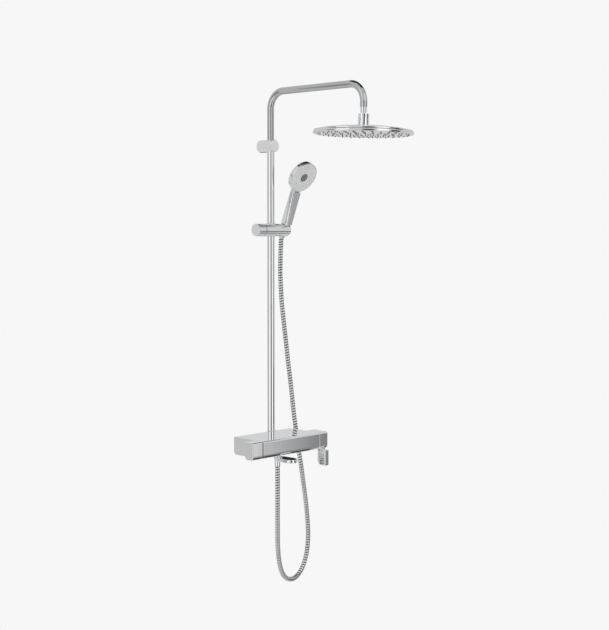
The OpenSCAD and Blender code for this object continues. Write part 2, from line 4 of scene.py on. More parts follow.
import bmesh
import bpy
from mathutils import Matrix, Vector


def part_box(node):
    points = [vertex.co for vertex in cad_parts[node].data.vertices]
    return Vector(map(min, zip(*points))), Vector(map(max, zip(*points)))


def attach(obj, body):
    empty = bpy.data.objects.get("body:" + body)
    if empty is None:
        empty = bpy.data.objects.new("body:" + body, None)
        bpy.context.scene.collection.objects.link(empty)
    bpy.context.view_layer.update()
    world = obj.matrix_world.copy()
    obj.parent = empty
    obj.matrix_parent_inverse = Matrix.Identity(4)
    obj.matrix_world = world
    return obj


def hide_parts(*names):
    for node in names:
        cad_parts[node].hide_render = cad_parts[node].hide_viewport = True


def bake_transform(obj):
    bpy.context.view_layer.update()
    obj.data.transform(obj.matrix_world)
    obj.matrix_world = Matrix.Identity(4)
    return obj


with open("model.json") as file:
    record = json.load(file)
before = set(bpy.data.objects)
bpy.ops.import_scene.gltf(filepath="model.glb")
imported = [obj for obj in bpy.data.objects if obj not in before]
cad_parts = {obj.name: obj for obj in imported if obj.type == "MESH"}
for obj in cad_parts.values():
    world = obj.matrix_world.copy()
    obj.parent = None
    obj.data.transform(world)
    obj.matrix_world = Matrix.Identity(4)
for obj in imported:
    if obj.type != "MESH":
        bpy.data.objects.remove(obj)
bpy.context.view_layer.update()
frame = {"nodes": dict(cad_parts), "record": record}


def middle(node):
    """Centre of a CAD node's box."""
    low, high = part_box(node)
    return (Vector(low) + Vector(high)) / 2


# ------------------------------------------------------------------ camera

CAMERA_AZIMUTH = math.radians(45.5)
CAMERA_PITCH = math.radians(3.9)
CAMERA_DISTANCE = 4.14
CAMERA_LENS = 73.86
CAMERA_AIM_OFFSET = Vector((0.0695, -0.0825, -0.538))


def make_camera():
    """Camera at the left of the column, a little above its middle, looking to the right and into the wall."""
    column = middle("lower_riser")
    bracket = middle("wall_bracket")
    aim = Vector((column.x, column.y, bracket.z)) + CAMERA_AIM_OFFSET
    forward = Vector((math.sin(CAMERA_AZIMUTH) * math.cos(CAMERA_PITCH),
                      math.cos(CAMERA_AZIMUTH) * math.cos(CAMERA_PITCH),
                      -math.sin(CAMERA_PITCH)))
    data = bpy.data.cameras.new("camera")
    data.lens = CAMERA_LENS
    data.sensor_width = 36
    data.clip_end = 100
    camera = bpy.data.objects.new("camera", data)
    bpy.context.scene.collection.objects.link(camera)
    camera.location = aim - forward * CAMERA_DISTANCE
    camera.rotation_mode = "QUATERNION"
    camera.rotation_quaternion = forward.to_track_quat("-Z", "Y")
    bpy.context.scene.camera = camera


make_camera()

# ------------------------------------------------------------------ materials

# Scales of the changes in shade and in roughness, in cycles a metre
SHADE_SCALE = 25
ROUGHNESS_SCALE = 75
# The part of the noise's range that is stretched over a material's own range
NOISE_LOW = 0.3
NOISE_HIGH = 0.7


def socket_noise(tree, scale, detail, low, high):
    """A value from low to high that varies over the surface at the given scale, in cycles a metre."""
    nodes, links = tree.nodes, tree.links
    place = nodes.new("ShaderNodeTexCoord")
    noise = nodes.new("ShaderNodeTexNoise")
    noise.inputs["Scale"].default_value = scale
    noise.inputs["Detail"].default_value = detail
    spread = nodes.new("ShaderNodeMapRange")
    spread.inputs["From Min"].default_value = NOISE_LOW
    spread.inputs["From Max"].default_value = NOISE_HIGH
    spread.inputs["To Min"].default_value = low
    spread.inputs["To Max"].default_value = high
    links.new(place.outputs["Object"], noise.inputs["Vector"])
    links.new(noise.outputs["Fac"], spread.inputs["Value"])
    return spread.outputs["Result"]


def surface(name, light, dark, metallic, rough, grain, bump):
    """A material whose colour, roughness and fine relief all vary a little, each at its own scale.

    light and dark are the two shades, rough is the range of roughness, grain is the relief's scale in
    cycles a metre, and bump is the relief's strength and depth.
    """
    made = bpy.data.materials.new(name)
    made.use_nodes = True
    tree = made.node_tree
    nodes, links = tree.nodes, tree.links
    shader = nodes["Principled BSDF"]
    shader.inputs["Metallic"].default_value = metallic
    mix = nodes.new("ShaderNodeMix")
    mix.data_type = "RGBA"
    mix.inputs["A"].default_value = (*dark, 1)
    mix.inputs["B"].default_value = (*light, 1)
    links.new(socket_noise(tree, SHADE_SCALE, 3, 0, 1), mix.inputs["Factor"])
    links.new(mix.outputs["Result"], shader.inputs["Base Color"])
    links.new(socket_noise(tree, ROUGHNESS_SCALE, 4, *rough), shader.inputs["Roughness"])
    relief = nodes.new("ShaderNodeBump")
    relief.inputs["Strength"].default_value = bump[0]
    relief.inputs["Distance"].default_value = bump[1]
    links.new(socket_noise(tree, grain, 2, 0, 1), relief.inputs["Height"])
    links.new(relief.outputs["Normal"], shader.inputs["Normal"])
    return made


def metal(name, light, dark, rough, grain, bump):
    """A surface that is metal all through."""
    return surface(name, light, dark, 1.0, rough, grain, bump)


def plastic(name, light, dark, rough, grain, bump):
    """A surface with no metal in it."""
    return surface(name, light, dark, 0.0, rough, grain, bump)


CHROME = metal("chrome", (0.90, 0.91, 0.92), (0.86, 0.87, 0.885), (0.03, 0.07), 60, (0.03, 0.0004))
PLATED = metal("plated_plastic", (0.88, 0.89, 0.90), (0.84, 0.85, 0.865), (0.05, 0.10), 80, (0.04, 0.0004))
POLISHED = metal("polished_face", (0.84, 0.85, 0.86), (0.80, 0.81, 0.82), (0.12, 0.20), 300, (0.05, 0.0003))
TUBE = metal("arm_chrome", (0.60, 0.61, 0.625), (0.56, 0.57, 0.585), (0.03, 0.07), 60, (0.03, 0.0004))
SHELL = metal("head_chrome", (0.80, 0.81, 0.825), (0.76, 0.77, 0.785), (0.13, 0.18), 60, (0.03, 0.0004))
BRASS = metal("brass", (0.80, 0.62, 0.30), (0.66, 0.48, 0.22), (0.25, 0.42), 500, (0.15, 0.0003))
STEEL = metal("zinc_steel", (0.66, 0.67, 0.68), (0.52, 0.53, 0.55), (0.28, 0.42), 400, (0.12, 0.0002))
HOSE = metal("hose_steel", (0.95, 0.955, 0.96), (0.84, 0.85, 0.86), (0.03, 0.07), 900, (0.06, 0.0002))
# Painted shade: near-black, put on the faces at the bottom of the hose's groove for the shade that falls in
# it
HOSE_GROOVE_SHADE = plastic("hose_groove_painted_shade", (0.03, 0.03, 0.032), (0.012, 0.012, 0.013), (0.5, 0.6), 900,
                    (0.06, 0.0002))
SATIN = surface("satin_grey", (0.66, 0.665, 0.685), (0.63, 0.635, 0.655), 0.35, (0.26, 0.36), 1800,
                (0.06, 0.0002))
BUTTON = surface("button_grey", (0.33, 0.34, 0.36), (0.27, 0.28, 0.30), 0.6, (0.22, 0.34), 1500,
                 (0.08, 0.0002))
NYLON = plastic("bearing_plastic", (0.84, 0.84, 0.83), (0.78, 0.78, 0.77), (0.40, 0.52), 1200, (0.10, 0.0002))
FACE = plastic("handset_face", (0.97, 0.972, 0.976), (0.94, 0.943, 0.947), (0.20, 0.28), 1500, (0.04, 0.0002))
RUBBER = plastic("rubber", (0.050, 0.050, 0.052), (0.032, 0.032, 0.034), (0.55, 0.70), 1400, (0.20, 0.0003))
SILICONE = plastic("silicone", (0.27, 0.28, 0.30), (0.20, 0.21, 0.23), (0.38, 0.50), 1600, (0.15, 0.0002))
PALE_SILICONE = plastic("pale_silicone", (0.88, 0.885, 0.89), (0.84, 0.845, 0.85), (0.40, 0.5), 1600,
                        (0.1, 0.0002))

SLOT_MATERIALS = {"chrome": CHROME, "plated_plastic": PLATED, "faceplate": POLISHED, "brass": BRASS,
                  "steel": STEEL, "satin_grey": SATIN, "button_grey": BUTTON, "bearing_plastic": NYLON,
                  "rubber": RUBBER, "silicone": SILICONE, "hose_steel": HOSE}
NODE_MATERIALS = {"handset_faceplate": FACE, "handset_nozzles": PALE_SILICONE, "riser_seal": PALE_SILICONE,
                  "upper_arm": TUBE, "head_shell": SHELL}
NODE_SLOTS = {part["node"]: part["material_slot"] for part in frame["record"]["subparts"]}
NODE_BODIES = {node: body for body, nodes in frame["record"]["behaviour"]["bodies"].items() for node in nodes}


def finish_nodes():
    """Gives every carried-over CAD node its own material, or else that of its slot."""
    for name, node in frame["nodes"].items():
        for place in node.material_slots:
            place.material = NODE_MATERIALS.get(name, SLOT_MATERIALS[NODE_SLOTS[name]])


finish_nodes()

# ------------------------------------------------------------------ mesh helpers

MM = 0.001
SHARPEST_RADIUS = 0.2 * MM
# Distance of the support level from a rounded end, as a multiple of the rounding
SUPPORT = 1.25
# Faces at least this wide are shaded flat
BROAD_FACE = 6 * MM


def mesh_piece(name, mesh, material, smooth=False):
    """Makes an object of a bmesh, with its material."""
    data = bpy.data.meshes.new(name)
    mesh.to_mesh(data)
    mesh.free()
    piece = bpy.data.objects.new(name, data)
    bpy.context.scene.collection.objects.link(piece)
    data.materials.append(material)
    if smooth:
        data.polygons.foreach_set("use_smooth", [True] * len(data.polygons))
    return piece


def settle(piece, node):
    """Makes a piece stand for a CAD node: it rides on the node's body, and the node is hidden."""
    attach(piece, NODE_BODIES[node])
    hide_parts(node)


def loft(mesh, rings, hoop=False):
    """Adds a skin through rings of points: capped at both ends, or as a hoop, joined last to first."""
    rows = [[mesh.verts.new(point) for point in ring] for ring in rings]
    following = rows[1:] + rows[:1] if hoop else rows[1:]
    for low, high in zip(rows, following):
        for k in range(len(low)):
            n = (k + 1) % len(low)
            mesh.faces.new((low[k], high[k], high[n], low[n]))
    if not hoop:
        mesh.faces.new(rows[0])
        mesh.faces.new(list(reversed(rows[-1])))
    bmesh.ops.recalc_face_normals(mesh, faces=mesh.faces)


def rounded_outline(a0, a1, b0, b1, radii, inset, steps=8):
    """A rectangle with rounded corners, shrunk by inset. Radii: (a1, b0), (a1, b1), (a0, b1), (a0, b0)."""
    corners = ((a1, b0, -1, 1, -90), (a1, b1, -1, -1, 0), (a0, b1, 1, -1, 90), (a0, b0, 1, 1, 180))
    outline = []
    for (a, b, sa, sb, start), radius in zip(corners, radii):
        r = max(radius - inset, SHARPEST_RADIUS)
        for k in range(steps + 1):
            angle = math.radians(start + 90 * k / steps)
            outline.append((a + sa * (inset + r) + r * math.cos(angle),
                            b + sb * (inset + r) + r * math.sin(angle)))
    return outline


def edge_levels(start, end, edge, steps=4):
    """Levels from start to end with their insets: rounded by edge at both ends, with a support past each."""
    levels = []
    for k in range(steps + 1):
        angle = math.pi / 2 * k / steps
        levels.append((start + edge * (1 - math.cos(angle)), edge * (1 - math.sin(angle))))
    levels.append((start + SUPPORT * edge, 0))
    return levels + [(start + end - level, inset) for level, inset in reversed(levels)]


def block_rings(low, high, radii, edge):
    """Rings of a block along X between two corners: a rounded (y, z) outline, and rounded end edges."""
    return [[Vector((x, y, z)) for y, z in rounded_outline(low[1], high[1], low[2], high[2], radii, inset)]
            for x, inset in edge_levels(low[0], high[0], edge)]


def turned_rings(centre, axis, profile, sides=64):
    """Rings of a turned solid: profile is a list of (distance along axis, radius)."""
    side = axis.orthogonal().normalized()
    other = axis.cross(side)
    return [[centre + axis * along + side * (r * math.cos(math.tau * k / sides))
             + other * (r * math.sin(math.tau * k / sides)) for k in range(sides)] for along, r in profile]


def rod_profile(start, end, radius, edge):
    """Profile of a rod with rounded end edges."""
    return [(along, radius - inset) for along, inset in edge_levels(start, end, edge)]


def shade_by_angle(piece, degrees=40):
    """Smooth shading, but flat on broad faces, and sharp where faces meet at more than the given angle."""
    data = piece.data
    work = bmesh.new()
    work.from_mesh(data)
    for edge in work.edges:
        edge.smooth = len(edge.link_faces) == 2 and edge.calc_face_angle(0) < math.radians(degrees)
    for face in work.faces:
        longest = max(edge.calc_length() for edge in face.edges)
        width = face.calc_area() / longest
        face.smooth = width < BROAD_FACE
    work.to_mesh(data)
    work.free()


def baked(piece, modifiers):
    """Applies modifiers, given as (type, {setting: value}), to a piece's mesh."""
    for kind, settings in modifiers:
        modifier = piece.modifiers.new(kind.lower(), kind)
        for key, value in settings.items():
            setattr(modifier, key, value)
    graph = bpy.context.evaluated_depsgraph_get()
    made = bpy.data.meshes.new_from_object(piece.evaluated_get(graph))
    piece.modifiers.clear()
    piece.data = made


def cut_away(piece, cutter):
    """Cuts a helper object's shape out of a piece, and removes the helper."""
    baked(piece, [("BOOLEAN", {"operation": "DIFFERENCE", "solver": "EXACT", "object": cutter})])
    bpy.data.objects.remove(cutter)


# ------------------------------------------------------------------ controls and spout

BLOCK_EDGE = 2.0 * MM
# Radii in the order that rounded_outline takes them: back bottom, back top, front top, front bottom
CONTROL_RADII = (13 * MM, 1.2 * MM, 5.5 * MM, 13 * MM)
BLADE_RADII = (16 * MM, 3 * MM, 3 * MM, 6 * MM)
NECK_RADII = (4 * MM, 8 * MM, 8 * MM, 1 * MM)
SHARP_RADII = (0, 0, 0, 0)

LEVER_PIN_Y = -160 * MM
LEVER_NECK_HALF = 14.6 * MM
LEVER_NECK_W = 16 * MM
LEVER_NECK_BOTTOM = -32 * MM
LEVER_NECK_TOP = -5 * MM
LEVER_FRONT = -190.5 * MM
LEVER_BACK = -155.5 * MM
LEVER_BLADE_H = 51.5 * MM
LEVER_EDGE = 2.6 * MM
LEVER_NECK_EDGE = 1 * MM
LEVER_NECK_IN = 1 * MM
HUB_SLOT_HALF = 15 * MM
HUB_SLOT_TOP = -0.5 * MM
HUB_SLOT_GAP = 2 * MM
# How far a cutter runs on past the solid that it cuts
HUB_CUT_PAST = 9 * MM
SPOUT_CUT_PAST = 5 * MM

SPOUT_T = 11.5 * MM
SPOUT_EDGE = 3 * MM
SPOUT_EDGE_STEPS = 6
HALF_TURN_STEPS = 24
SPOUT_HOLLOW_R = 11.5 * MM
SPOUT_HOLLOW_H = 6 * MM
# The flare between the blade and its neck: height above the blade's top, and radius, in millimetres
SPOUT_FLARE = ((-2, 17), (0.4, 15.5), (1.4, 13.6), (3.2, 12.3), (6, 12))


def control_block(node):
    """A control's block, which fills its node's box, with a rounded outline and soft edges."""
    low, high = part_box(node)
    mesh = bmesh.new()
    loft(mesh, block_rings(low, high, CONTROL_RADII, BLOCK_EDGE))
    return mesh_piece(node + "_soft", mesh, CHROME)


def make_diverter_knob():
    """The diverter knob: a plain block."""
    piece = control_block("diverter_knob")
    shade_by_angle(piece)
    settle(piece, "diverter_knob")


def make_lever_hub():
    """The hub, with the slot that the lever's neck stands in."""
    low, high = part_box("lever_hub")
    piece = control_block("lever_hub")
    slot_low = (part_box("lever")[0][0] - HUB_SLOT_GAP, LEVER_PIN_Y - HUB_SLOT_HALF, low[2] - HUB_CUT_PAST)
    slot_high = (high[0] + HUB_CUT_PAST, LEVER_PIN_Y + HUB_SLOT_HALF, HUB_SLOT_TOP)
    slot = bmesh.new()
    loft(slot, block_rings(slot_low, slot_high, SHARP_RADII, SHARPEST_RADIUS))
    cut_away(piece, mesh_piece("hub_slot_cutter", slot, CHROME))
    shade_by_angle(piece)
    settle(piece, "lever_hub")


def make_lever():
    """The hanging blade, with softly rounded edges, and its neck on the pin."""
    low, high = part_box("lever")
    neck_left = low[0] + LEVER_NECK_IN
    mesh = bmesh.new()
    loft(mesh, block_rings((low[0], LEVER_FRONT, low[2]), (high[0], LEVER_BACK, low[2] + LEVER_BLADE_H),
                           BLADE_RADII, LEVER_EDGE))
    loft(mesh, block_rings((neck_left, LEVER_PIN_Y - LEVER_NECK_HALF, LEVER_NECK_BOTTOM),
                           (neck_left + LEVER_NECK_W, LEVER_PIN_Y + LEVER_NECK_HALF, LEVER_NECK_TOP),
                           NECK_RADII, LEVER_NECK_EDGE))
    piece = mesh_piece("lever_blade", mesh, CHROME)
    shade_by_angle(piece)
    settle(piece, "lever")


def spout_ring(radius, tip_y, neck_y, z):
    """A level outline of the spout's blade: two half circles joined by straight sides."""
    ring = []
    for y, start in ((tip_y, math.pi), (neck_y, 0)):
        turns = [start + math.pi * k / HALF_TURN_STEPS for k in range(HALF_TURN_STEPS + 1)]
        ring += [Vector((radius * math.cos(a), y + radius * math.sin(a), z)) for a in turns]
    return ring


def make_spout():
    """The flat bath spout: round ends, soft edges, a hollow under its tip, and a flared neck."""
    low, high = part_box("spout")
    radius = (high[0] - low[0]) / 2
    neck_y = high[1] - radius
    tip_y = low[1] + radius
    blade_top = low[2] + SPOUT_T
    up = Vector((0, 0, 1))
    mesh = bmesh.new()
    loft(mesh, [spout_ring(radius - inset, tip_y, neck_y, z)
                for z, inset in edge_levels(low[2], blade_top, SPOUT_EDGE, SPOUT_EDGE_STEPS)])
    flare = [(blade_top + rise * MM, r * MM) for rise, r in SPOUT_FLARE]
    flare.append((high[2], flare[-1][1]))
    loft(mesh, turned_rings(Vector((0, neck_y, 0)), up, flare))
    piece = mesh_piece("spout_soft", mesh, CHROME)
    hollow = bmesh.new()
    loft(hollow, turned_rings(Vector((0, tip_y, 0)), up, [(low[2] - SPOUT_CUT_PAST, SPOUT_HOLLOW_R),
                                                          (low[2] + SPOUT_HOLLOW_H, SPOUT_HOLLOW_R)]))
    cut_away(piece, mesh_piece("spout_hollow_cutter", hollow, CHROME))
    shade_by_angle(piece)
    settle(piece, "spout")


make_diverter_knob()
make_lever_hub()
make_lever()
make_spout()

# ------------------------------------------------------------------ holder and bracket

HOLDER_EDGE = 1.6 * MM
HOLDER_SIDES = 96


def make_rod_piece(node, axis):
    """A turned chrome part that fills its node's box along the given axis, with rounded end edges."""
    low, high = (Vector(corner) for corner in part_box(node))
    centre = (low + high) / 2
    across = [k for k in range(3) if not axis[k]]
    radius = (high[across[0]] - low[across[0]]) / 2
    along = axis.dot(high - low) / 2
    mesh = bmesh.new()
    loft(mesh, turned_rings(centre, axis, rod_profile(-along, along, radius, HOLDER_EDGE), HOLDER_SIDES))
    piece = mesh_piece(node + "_soft", mesh, SLOT_MATERIALS[NODE_SLOTS[node]])
    shade_by_angle(piece)
    settle(piece, node)


make_rod_piece("clamp_knob", Vector((1, 0, 0)))
make_rod_piece("wall_bracket", Vector((0, 1, 0)))

# ------------------------------------------------------------------ hand shower

HAND_TILT = math.radians(21)
HAND_LEAN = math.radians(10.5)
# All in millimetres: the cup's place beside the slider, the face's centre in the hand shower's own
# frame, and the head's radius
CUP_ALONG = 58
FACE_Y = -28.2
FACE_Z = 187
HAND_R = 51
HANDLE_SIDES = 48
HAND_CENTRE = middle("slider_body") + Vector((CUP_ALONG, 0, 0)) * MM


def hand_point(x, y, z):
    """A point of the hand shower's own frame, in millimetres: +Z up the handle, -Y out of the face."""
    c, s = math.cos(HAND_TILT), math.sin(HAND_TILT)
    return HAND_CENTRE + Vector((x, y * c - z * s, y * s + z * c)) * MM


def face_point(x, y, z):
    """A point of the hand shower's face frame, in millimetres: the face leans more than the handle."""
    c, s = math.cos(HAND_LEAN), math.sin(HAND_LEAN)
    return hand_point(x, FACE_Y + y * c - z * s, FACE_Z + y * s + z * c)


def face_ring(depth, r, x=0.0, z=0.0, sides=96):
    """A ring of radius r at a depth behind the face, about its centre or about a place beside it."""
    return [face_point(x + r * math.cos(math.tau * k / sides), depth, z + r * math.sin(math.tau * k / sides))
            for k in range(sides)]


def handle_ring(z, width, front, back, squareness):
    """A section of the handle: an oval between front and back, squared off by squareness."""
    ring = []
    for k in range(HANDLE_SIDES):
        a = math.tau * k / HANDLE_SIDES
        c, s = math.cos(a), math.sin(a)
        x = width / 2 * math.copysign(abs(c) ** squareness, c)
        y = (front + back) / 2 + (back - front) / 2 * math.copysign(abs(s) ** squareness, s)
        ring.append(hand_point(x, y, z))
    return ring


# Sections up the handle: height, width, front, back, squareness
HANDLE_SECTIONS = ((20.6, 23.6, -19.6, 11.4, 0.62), (22.5, 25, -20.4, 12.4, 0.55), (50, 27, -19.6, 10.2, 0.5),
                   (85, 29.8, -18.4, 7.2, 0.5), (118, 32.6, -17.3, 4.4, 0.5), (138, 34.4, -16.8, 2.4, 0.5),
                   (150, 36.5, -17.2, -0.6, 0.5), (162, 40, -19, -5, 0.5), (176, 43, -21, -10.6, 0.5))
# The head behind the face: depth, and how far its side stands in from the full radius
HEAD_SECTIONS = ((3.0, 1.2), (4.2, 0.0), (15.0, 0.0), (17.2, 1.2), (18.3, 3.2), (18.6, 6.0))
FILLET_VOXEL = 0.9 * MM
FILLET_PASSES = 6


def make_handset_shell():
    """The shell: handle and round head run into each other through soft fillets."""
    mesh = bmesh.new()
    loft(mesh, [handle_ring(*section) for section in HANDLE_SECTIONS])
    loft(mesh, [face_ring(depth, HAND_R - inset) for depth, inset in HEAD_SECTIONS])
    piece = mesh_piece("handset_shell_soft", mesh, PLATED)
    baked(piece, [("REMESH", {"mode": "VOXEL", "voxel_size": FILLET_VOXEL, "adaptivity": 0.0}),
                  ("SMOOTH", {"factor": 0.5, "iterations": FILLET_PASSES})])
    for face in piece.data.polygons:
        face.use_smooth = True
    settle(piece, "handset_shell")


# Profiles about the face's axis: depth behind the face, and radius
FACE_PROFILE = ((2.8, 13.8), (0.5, 13.8), (0.0, 14.3), (0.0, 48.6), (0.4, 49.4), (2.8, 49.4))
STUD_PROFILE = ((1.0, 1.5), (-0.05, 1.4), (-0.6, 1.0), (-0.75, 0.5))
RIM_PROFILE = ((3.6, HAND_R - 0.1), (1.0, HAND_R), (0.3, HAND_R - 0.3), (0.05, HAND_R - 0.8),
               (0.3, HAND_R - 1.35), (3.6, HAND_R - 1.4))
STUD_SIDES = 12
# Rings of spray nozzles: radius and number
HAND_NOZZLES = ((22, 10), (32, 16), (42, 22))


def make_handset_face():
    """The smooth face, with a hole for the button."""
    plate = bmesh.new()
    loft(plate, [face_ring(*point) for point in FACE_PROFILE], hoop=True)
    piece = mesh_piece("handset_face", plate, FACE)
    shade_by_angle(piece)
    settle(piece, "handset_faceplate")


def make_handset_studs():
    """The soft spray nozzles, which stand just proud of the face."""
    studs = bmesh.new()
    for ring, count in HAND_NOZZLES:
        for k in range(count):
            a = math.tau * k / count
            x, z = ring * math.cos(a), ring * math.sin(a)
            loft(studs, [face_ring(*point, x, z, STUD_SIDES) for point in STUD_PROFILE])
    piece = mesh_piece("handset_studs", studs, PALE_SILICONE)
    shade_by_angle(piece, degrees=60)
    settle(piece, "handset_nozzles")


def make_handset_rim():
    """The bright rim that holds the face."""
    mesh = bmesh.new()
    loft(mesh, [face_ring(*point) for point in RIM_PROFILE], hoop=True)
    piece = mesh_piece("handset_rim", mesh, CHROME)
    shade_by_angle(piece, degrees=60)
    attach(piece, "hand_shower")


# The insert's side: height up the handle, and half width there
INSERT_SIDE = ((24.6, 9.0), (60, 10.6), (95, 12.2), (131, 13.8))
# The insert's edge, from the back to the front: depth, and how far it stands in
INSERT_EDGE = ((1.2, 0.0), (-0.1, 0.0), (-0.35, 0.15), (-0.5, 0.5))
INSERT_FRONT = -19.6
INSERT_SLOPE = 0.031
INSERT_MIDDLE = 50


def insert_ring(depth, inset, grow):
    """An outline of the insert, at a depth behind the handle's sloping front."""
    bottom, top = INSERT_SIDE[0][0], INSERT_SIDE[-1][0]
    side = []
    for z, half in INSERT_SIDE:
        level = z - grow + inset if z == bottom else z + grow - inset if z == top else z
        side.append((half + grow - inset, level))
    outline = side + [(-x, z) for x, z in reversed(side)]
    return [hand_point(x, INSERT_FRONT + INSERT_SLOPE * (z - INSERT_MIDDLE) + depth, z) for x, z in outline]


def make_insert_piece(name, grow, lift, material):
    """One layer of the insert, wider all round by grow and brought forward by lift."""
    mesh = bmesh.new()
    loft(mesh, [insert_ring(depth - lift, inset, grow) for depth, inset in INSERT_EDGE])
    piece = mesh_piece(name, mesh, material)
    shade_by_angle(piece)
    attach(piece, "hand_shower")
    return piece


def make_handle_insert():
    """The satin insert let into the handle's front, with a fine bright edge round it."""
    make_insert_piece("handle_insert_edge", 0.7, 0.0, CHROME)
    panel = make_insert_piece("handle_insert_panel", 0.0, 0.25, SATIN)
    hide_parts("handle_insert")


# The button's profile about the face's axis: depth behind the face, and radius
BUTTON_PROFILE = ((1.2, 13.4), (-0.3, 13.4), (-0.9, 12.8), (-1.0, 11.6), (-0.2, 10.8), (-0.2, 3.9),
                  (-0.9, 3.4), (-1.1, 2.2))
BUTTON_SIDES = 48
BUTTON_BLADES = 9
BLADE_START = 4.2
BLADE_END = 10.4
BLADE_SWEEP = 0.05
# A blade's section: depth, and its width at a radius of 5 mm
BLADE_SECTION = ((0.3, 1.5), (-0.6, 1.3), (-0.9, 0.7))


def blade_ring(turn, depth, width):
    """An outline of one of the button's blades, which widens outwards and sweeps round a little."""
    ring = []
    for r, side in ((BLADE_START, -1), (BLADE_END, -1), (BLADE_END, 1), (BLADE_START, 1)):
        half_angle = width * 0.5 / r * (0.5 + r / 10)
        a = turn + BLADE_SWEEP * (r - BLADE_START) + side * half_angle
        ring.append(face_point(r * math.cos(a), depth, r * math.sin(a)))
    return ring


def make_handset_button():
    """The spray button: a domed cap with raised blades round a small hub."""
    mesh = bmesh.new()
    loft(mesh, [face_ring(*point, sides=BUTTON_SIDES) for point in BUTTON_PROFILE])
    for n in range(BUTTON_BLADES):
        turn = math.tau * n / BUTTON_BLADES
        loft(mesh, [blade_ring(turn, *section) for section in BLADE_SECTION])
    piece = mesh_piece("handset_button_soft", mesh, BUTTON)
    shade_by_angle(piece)
    settle(piece, "handset_button")


make_handset_shell()
make_handset_face()
make_handset_studs()
make_handset_rim()
make_handle_insert()
make_handset_button()

# ------------------------------------------------------------------ hose

# Route of the hose, in metres, from the hand shower's nut to the outlet under the mixer
HOSE_ROUTE = [
    (0.0985, -0.0372, 0.6507), (0.0995, -0.0338, 0.641), (0.1015, -0.031, 0.628), (0.1045, -0.0265, 0.6),
    (0.107, -0.023, 0.57), (0.109, -0.0205, 0.535), (0.112, -0.0195, 0.5), (0.115, -0.02, 0.448),
    (0.12, -0.022, 0.396), (0.125, -0.025, 0.343), (0.13, -0.028, 0.29), (0.135, -0.031, 0.237),
    (0.14, -0.035, 0.184), (0.144, -0.039, 0.13), (0.148, -0.043, 0.076), (0.153, -0.048, 0.02),
    (0.16, -0.052, -0.04), (0.168, -0.057, -0.1), (0.175, -0.061, -0.16), (0.183, -0.064, -0.22),
    (0.188, -0.066, -0.275), (0.19, -0.068, -0.323), (0.187, -0.069, -0.364), (0.178, -0.07, -0.402),
    (0.163, -0.07, -0.435), (0.14, -0.071, -0.458), (0.112, -0.072, -0.467), (0.084, -0.073, -0.459),
    (0.062, -0.074, -0.434), (0.049, -0.075, -0.395), (0.042, -0.076, -0.35), (0.04, -0.077, -0.3),
    (0.04, -0.077, -0.24), (0.04, -0.077, -0.18), (0.04, -0.077, -0.12), (0.04, -0.077, -0.083),
]
HOSE_RADIUS = 7.75 * MM
HOSE_PITCH = 8.5 * MM
HOSE_GROOVE = 1.3 * MM
# The groove's wave is raised to this power, which flattens the ribs and narrows the grooves
HOSE_GROOVE_POWER = 5
HOSE_SIDES = 20
STEPS_PER_TURN = 14
HOSE_STEP = HOSE_PITCH / STEPS_PER_TURN
# Share of the winding's wave above which its faces get painted shade: a near-black material that stands for
# the shade at the bottom of the groove
HOSE_GROOVE_EDGE = 0.4
# Distances along the hose, in metres, where it changes from one body's joint to the next
HOSE_CUTS = (0.10, 0.21, 0.40)
CURVE_STEPS = 24


def smooth_route(points, step):
    """Even points along the smooth curve through the route, about a step apart, and their spacing."""
    last = len(points) - 1
    fine = []
    for i in range(last):
        a, b, c, d = (Vector(points[min(max(k, 0), last)]) for k in (i - 1, i, i + 1, i + 2))
        for k in range(CURVE_STEPS):
            t = k / CURVE_STEPS
            fine.append(0.5 * (2 * b + (c - a) * t + (2 * a - 5 * b + 4 * c - d) * t * t
                               + (3 * b - a - 3 * c + d) * t ** 3))
    fine.append(Vector(points[last]))
    reach = [0.0]
    for p, q in zip(fine, fine[1:]):
        reach.append(reach[-1] + (q - p).length)
    count = round(reach[-1] / step)
    even, k = [], 0
    for i in range(count + 1):
        s = reach[-1] * i / count
        while k < len(fine) - 2 and reach[k + 1] < s:
            k += 1
        even.append(fine[k].lerp(fine[k + 1], (s - reach[k]) / (reach[k + 1] - reach[k])))
    return even, reach[-1] / count


def groove(turn):
    """Depth of the winding's groove, from 0 to 1, at an angle in its turn."""
    return max(0.0, math.cos(turn)) ** HOSE_GROOVE_POWER


def tube_frames(points):
    """A steady pair of sideways directions at each point, carried along without twist."""
    side = Vector((0, 1, 0))
    frames = []
    for i in range(len(points)):
        heading = (points[min(i + 1, len(points) - 1)] - points[max(i - 1, 0)]).normalized()
        side = (side - heading * side.dot(heading)).normalized()
        frames.append((side.copy(), heading.cross(side)))
    return frames


HOSE_POINTS, HOSE_SPACING = smooth_route(HOSE_ROUTE, HOSE_STEP)
HOSE_FRAMES = tube_frames(HOSE_POINTS)


